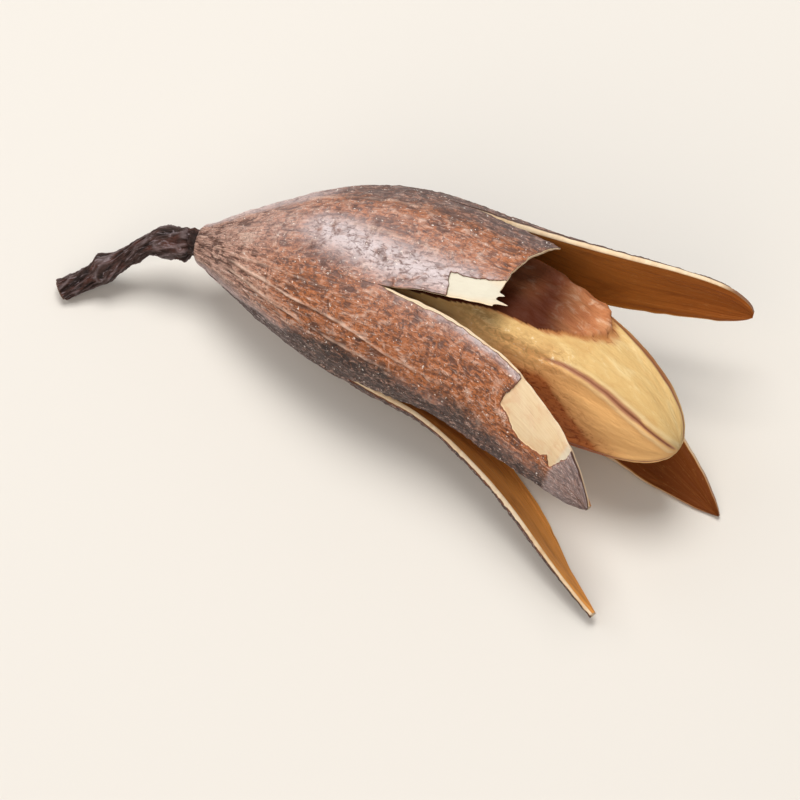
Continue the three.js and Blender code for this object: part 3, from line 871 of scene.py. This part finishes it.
def makeCore():
    # radius = swell along the core x section between a circle and a pentagon, plus lips beside each ridge
    form = coreForm
    s = (1 - np.cos(np.pi * np.linspace(0, 0.998, form["alongSteps"]))) / 2  # closer together at both ends
    x = mix(form["from"], form["to"], s)[:, None]
    azimuth = np.linspace(0, 2 * np.pi, form["aroundSteps"], endpoint=False)[None, :] + 0 * x
    x = x + 0 * azimuth
    degrees, turns = np.degrees(azimuth), azimuth / (2 * np.pi)
    foot = np.clip((x - form["from"]) / (form["widest"] - form["from"]), 0, 1)
    tip = np.clip((x - form["widest"]) / (form["to"] - form["widest"]), 0, 1)
    footSwell = mix(form["footShare"], 1, np.sin(np.pi / 2 * foot) ** 0.9)
    swell = np.where(x > form["widest"], np.sqrt(1 - tip ** 2.5), footSwell)
    fromRidge = (azimuth - form["firstRidge"] + valveAngle) % (2 * valveAngle) - valveAngle
    pentagon = math.cos(valveAngle) / np.cos(valveAngle - np.abs(fromRidge))
    radius = form["radius"] * swell * mix(form["circle"], pentagon, form["pentagon"])

    # seams along the ridges, each in a groove between two lips, with a scabby stretch on the one in front
    fromFirst = (degrees - math.degrees(form["firstRidge"]) + 180) % 360 - 180
    near = np.abs(fromFirst) < math.degrees(valveAngle)
    shift = np.radians(np.interp(x, *zip(*form["nearRidge"]))) - form["firstRidge"]
    off = np.where(near, fromRidge - shift, fromRidge) * radius + 0.07 * lattice(turns * 0, x, 2, 1.1, 60)
    opened = smooth(*form["nearSeamFrom"], x)
    fromTip = np.where(near, mix(0.25, 1, opened), 1)
    lips = bell(np.abs(off), 0.3, 0.16) * fromTip
    ridge = form["lipHeight"] * lips - form["grooveDepth"] * bell(off, 0, 0.13) * fromTip
    scab = 0.8 * bell(off, 0.25, 0.75) * band((16, 19, 23.5, 25.5), x) * near
    seamWidth = form["seamWidth"] * mix(0.6, 1.3, smooth(-0.6, 0.6, lattice(0 * turns, x, 2, 1.5, 68)))

    # the film: a thin swollen layer with buckles and a rolled, ragged edge, dark towards the foot with
    # valve_1's painted shadow
    insideFilm = np.interp(degrees, *zip(*form["filmEdge"])) - x
    insideFilm += roughness(turns, x, [(0.25, 40, 1.6, 61), (0.15, 120, 0.6, 62)])
    film = smooth(-0.06, 0.12, insideFilm)
    swollen = form["filmHeight"] + form["filmSwell"] * bell(degrees, 160, 30) * smooth(12, 20, x)
    swollen += roughness(turns, x, [(0.1, 24, 1.7, 66), (0.07, 60, 0.7, 69)])
    shadeEdge = form["shadeEdge"] - 0.03 * (degrees - 130) - 0.4 * lattice(turns, x, 20, 2.0, 99)
    shade = 1 - smooth(-1.8, 1.4, x - shadeEdge)
    # deep behind the torn end, the painted shadow is lifted a little to lighten the cavity
    behindTorn = (1 - smooth(19.5, 21.5, x)) * smooth(120, 138, degrees)

    rough = roughness(turns, x, form["rough"]) + 0.035 * scab * lattice(turns, x, 110, 0.45, 67)
    fade = smooth(0, 1.2, radius)
    radius += (ridge + rough + form["filmRoll"] * bell(insideFilm, 0.25, 0.2) + swollen * film) * fade
    points = radial(azimuth) * radius[..., None]
    points[..., 0] = x

    # beside valve_3's edge a red-brown stain with painted shade; along the film's lower edge a stain
    insideRed = np.interp(x, *zip(*form["redSide"])) + 5 * lattice(turns, x, 40, 1.3, 100) - degrees
    stainAndShade = smooth(-12, 6, insideRed) + 0.35 * smooth(-40, -8, insideRed) * smooth(20, 24, x)
    stainAndShade = np.minimum(stainAndShade, 1) * smooth(18, 23, x)
    attributes = {
        "grain": grainOf(azimuth, x),
        "seam": bell(off, 0, seamWidth) * fade * np.where(near, opened, 1),
        # where the lips get a painted highlight
        "lips": lips * smooth(22.5, 28.5, x) * near,
        "film": film,
        "shade": shade * (1 - 0.3 * behindTorn),
        "stainAndShade": np.maximum(stainAndShade, 0.8 * smooth(-0.9, -0.05, insideFilm) * smooth(17, 20, x)),
        # the face below the near ridge: painted warm bounce light
        "warmBounce": (1 - smooth(86, 98, degrees)) * smooth(15, 22, x),
        "rim": bell(degrees, 167, 3) * smooth(22, 24, x),
        "scab": scab,
    }
    piece = gridPiece("core_pith", placed(points), attributes, [dryPith], fan=True)
    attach(piece, "root")
    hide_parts("core")


makeCore()
print("core made")

# twig and collar

twigForm = {
    "route": [
        (-0.35, -0.2, 0), (-1.15, -0.27, 0), (-2.3, -0.42, -0.05), (-3.5, -0.95, -0.3), (-5, -2.2, -0.8),
        (-6.1, -3.05, -1.12), (-8.15, -4.5, -1.17),
    ],
    "radius": 0.64,
    "shoulder": 0.24,
    "collarLip": 0.1,
    "waist": 0.07,
    "knot": 0.36,
    "knotAt": (6.15, 0.55),  # place along and width
    "knotSide": math.radians(140),
    "ribTwist": 0.05,  # turns in a mm
    "ribHeight": 0.19,
    "gnarledTo": (1.2, 2.8),
    "lumps": [(0.07, 5, 0.8, 92), (0.035, 60, 0.22, 93)],
    "cutRings": [0.97, 0.9, 0.75, 0.55, 0.35, 0.18],  # shares of the last ring, in to the middle of the cut
    "alongSteps": 300,
    "aroundSteps": 150,
}


def routeThrough(knots, samples):  # a uniform Catmull-Rom spline through points, evenly resampled
    knots = np.array(knots, float)
    padded = np.concatenate([[2 * knots[0] - knots[1]], knots, [2 * knots[-1] - knots[-2]]])
    fine = np.linspace(0, len(knots) - 1 - 1e-6, 600)
    i, f = np.floor(fine).astype(int), (fine % 1)[:, None]
    p0, p1, p2, p3 = (padded[i + k] for k in range(4))
    curved = (2 * p0 - 5 * p1 + 4 * p2 - p3) * f ** 2 + (3 * p1 - p0 - 3 * p2 + p3) * f ** 3
    line = 0.5 * (2 * p1 + (p2 - p0) * f + curved)
    walked = totals(np.linalg.norm(np.diff(line, axis=0), axis=1))
    even = np.linspace(0, walked[-1], samples)
    return even, np.stack([np.interp(even, walked, line[:, k]) for k in range(3)], -1)


def makeTwig():
    # a round section carried along the route; its radius swells at the pod, at the knot, and in furrowed ribs
    form = twigForm
    walked, middle = routeThrough(form["route"], form["alongSteps"])
    forward = unit(np.gradient(middle, axis=0))
    side = unit(np.cross(np.array([0, 0, 1.0]), forward))
    up = np.cross(forward, side)
    w = walked[:, None]
    angle = np.linspace(0, 2 * np.pi, form["aroundSteps"], endpoint=False)[None, :] + 0 * w
    turns = angle / (2 * np.pi)
    twisted = turns + form["ribTwist"] * w
    ribs = 0.6 * ridged(lattice(twisted, w, 14, 1.5, 90), 0.8)
    ribs += 0.4 * ridged(lattice(twisted, w, 27, 0.8, 91))
    gnarled = 1 - smooth(*form["gnarledTo"], w)
    radius = form["radius"] + form["shoulder"] * (1 - smooth(1.7, 3.0, w))
    radius = radius + form["collarLip"] * bell(w, 0.55, 0.25) - form["waist"] * bell(w, 4.0, 1.15)
    knotSide = 0.65 + 0.5 * np.cos(angle - form["knotSide"])
    radius = radius + form["knot"] * bell(w, *form["knotAt"]) * knotSide
    radius += form["ribHeight"] * (1 + gnarled) * (ribs - 0.5) + roughness(turns, w, form["lumps"])
    radius *= mix(0.45, 1, smooth(0, 0.35, w + 0.12 * lattice(turns, 0 * w, 16, 1, 94)))
    spokes = np.cos(angle)[..., None] * side[:, None, :] + np.sin(angle)[..., None] * up[:, None, :]
    points = middle[:, None, :] + radius[..., None] * spokes

    # the cut end: rings that step in to the middle, slightly rough
    centre = points[-1].mean(0)
    shares = np.array(form["cutRings"])[:, None]
    bumps = 0.07 * lattice(turns[:1] + 0 * shares, shares * 3, 12, 0.5, 95)
    face = centre + (points[-1] - centre) * shares[..., None] + bumps[..., None] * forward[-1]
    rings = angle[:1] + 0 * shares
    angles = np.concatenate([angle, rings])
    along = np.concatenate([w + 0 * angle, walked[-1] + 0 * rings])
    browning = 0.5 * smooth(walked[-1] - 0.12, walked[-1], w) + 0 * angle
    attributes = {
        "grain": grainOf(angles, along, 1),
        # ribs: for the bark's painted shade in furrows and painted highlight on the ribs
        "ribs": np.concatenate([ribs + 0.08 * gnarled, 0.6 + 0 * rings]),
        "cut": np.concatenate([browning, 1 + 0 * rings]),
    }
    points = placed(np.concatenate([points, face]))
    piece = gridPiece("twig_bark", points, attributes, [twigBark], fan=True)
    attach(piece, "root")
    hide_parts("twig")


collarForm = {
    "from": -1,
    "to": 0.35,
    "radius": 0.76,
    "folds": [(0.07, 18, 0.5, 96), (0.04, 40, 0.2, 97)],
    "alongSteps": 60,
    "aroundSteps": 120,
}


def makeCollar():
    # the shrunken scar where the twig meets the pod: a short waisted tube, dark and rough
    form = collarForm
    x = np.linspace(form["from"], form["to"], form["alongSteps"])[:, None]
    azimuth = np.linspace(0, 2 * np.pi, form["aroundSteps"], endpoint=False)[None, :] + 0 * x
    folds = roughness(azimuth / (2 * np.pi), x + 5, form["folds"])
    points = radial(azimuth) * (form["radius"] + 0.07 * bell(x, -0.45, 0.12) + folds)[..., None]
    points[..., 0] = x
    attributes = {
        "grain": grainOf(azimuth, x + 0 * azimuth, 1),
        # the folds, for the bark's painted shade and highlight, mostly in the dark
        "ribs": 0.45 + 2.5 * folds,
        "cut": 0 * azimuth,
    }
    piece = gridPiece("collar_scar", placed(points), attributes, [twigBark], fan=True)
    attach(piece, "root")
    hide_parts("collar")


makeTwig()
makeCollar()
print("twig and collar made")

# floor, light and camera

stage = {
    "floor": "#dad8d4",
    "floorRoughness": 0.9,
    "floorReach": 3,  # metres from its middle to a side
    "floorDrop": 0.02,  # mm below the pod, so that the two don't fight
    "world": "#eef1f5",
    "worldStrength": 0.33,
    "azimuth": 17.6,
    "elevation": 65,
    "lens": 200,
    "sensor": 36,
    "margin": 1.13,
}


def makeStage():
    material, tree = newMaterial("paleMattPaper")  # seamless studio paper
    paper = {"Base Color": stage["floor"], "Roughness": stage["floorRoughness"]}
    surface = addNode(tree, "BsdfPrincipled", paper)
    addNode(tree, "OutputMaterial", {"Surface": surface.outputs[0]})
    reach, level = stage["floorReach"], groundLevel - stage["floorDrop"] * mm
    corners = [(x * reach, y * reach, level) for x, y in ((-1, -1), (1, -1), (1, 1), (-1, 1))]
    mesh = bpy.data.meshes.new("floor")
    mesh.from_pydata(corners, [], [(0, 1, 2, 3)])
    mesh.materials.append(material)
    floor = bpy.data.objects.new("floor", mesh)
    bpy.context.scene.collection.objects.link(floor)
    world = bpy.data.worlds.new("softRoom")
    world.use_nodes = True
    background = world.node_tree.nodes["Background"]
    background.inputs[0].default_value = hexColour(stage["world"])
    background.inputs[1].default_value = stage["worldStrength"]
    bpy.context.scene.world = world


def towards(azimuth, elevation):  # unit vector from the pod; azimuth 0 is in front, at -y
    a, e = math.radians(azimuth), math.radians(elevation)
    return Vector((math.sin(a) * math.cos(e), -math.cos(a) * math.cos(e), math.sin(e)))


def addAimed(name, data, place, back):  # a lamp or camera that looks against back
    thing = bpy.data.objects.new(name, data)
    thing.location = place
    thing.rotation_mode = "QUATERNION"
    thing.rotation_quaternion = (-back).to_track_quat("-Z", "Y")
    bpy.context.scene.collection.objects.link(thing)
    return thing


def addLight(name, azimuth, elevation, distance, size, power, colour):  # a square softbox; degrees, m, watts
    data = bpy.data.lights.new(name, "AREA")
    data.size = size
    data.energy = power
    data.color = hexColour(colour)[:3]
    back = towards(azimuth, elevation)
    addAimed(name, data, back * distance, back)


def makeCamera(pieces):
    # seen along back, the pieces' box in the picture is centred, and fills it but for a margin
    azimuth = math.radians(stage["azimuth"])
    back = towards(stage["azimuth"], stage["elevation"])
    right = Vector((math.cos(azimuth), math.sin(azimuth), 0))
    up = back.cross(right)
    corners = np.array([vertex.co for piece in pieces for vertex in piece.data.vertices], np.float32)
    seen = corners @ np.array([right, up, back]).T
    low, high = seen.min(0), seen.max(0)
    middle = (low + high) / 2
    target = right * middle[0] + up * middle[1] + back * middle[2]
    width = max(high[:2] - low[:2]) * stage["margin"]
    distance = width * stage["lens"] / stage["sensor"]
    data = bpy.data.cameras.new("camera")
    data.lens = stage["lens"]
    data.sensor_width = stage["sensor"]
    data.clip_start = distance * 0.05
    data.clip_end = distance * 100
    bpy.context.scene.camera = addAimed("camera", data, target + back * distance, back)


makeStage()
addLight("key", 205, 73, 0.5, 0.24, 2.1, "#fffaf3")
addLight("fill", 350, 45, 0.6, 0.5, 1.3, "#ffecd6")  # warm, as if from a wooden table
addLight("left", 270, 45, 0.55, 0.3, 0.4, "#ffffff")
makeCamera([piece for piece in bpy.data.objects if piece.name.endswith(("_shell", "_pith", "_bark"))])
bpy.context.scene.view_settings.view_transform = "Standard"
print("stage made")
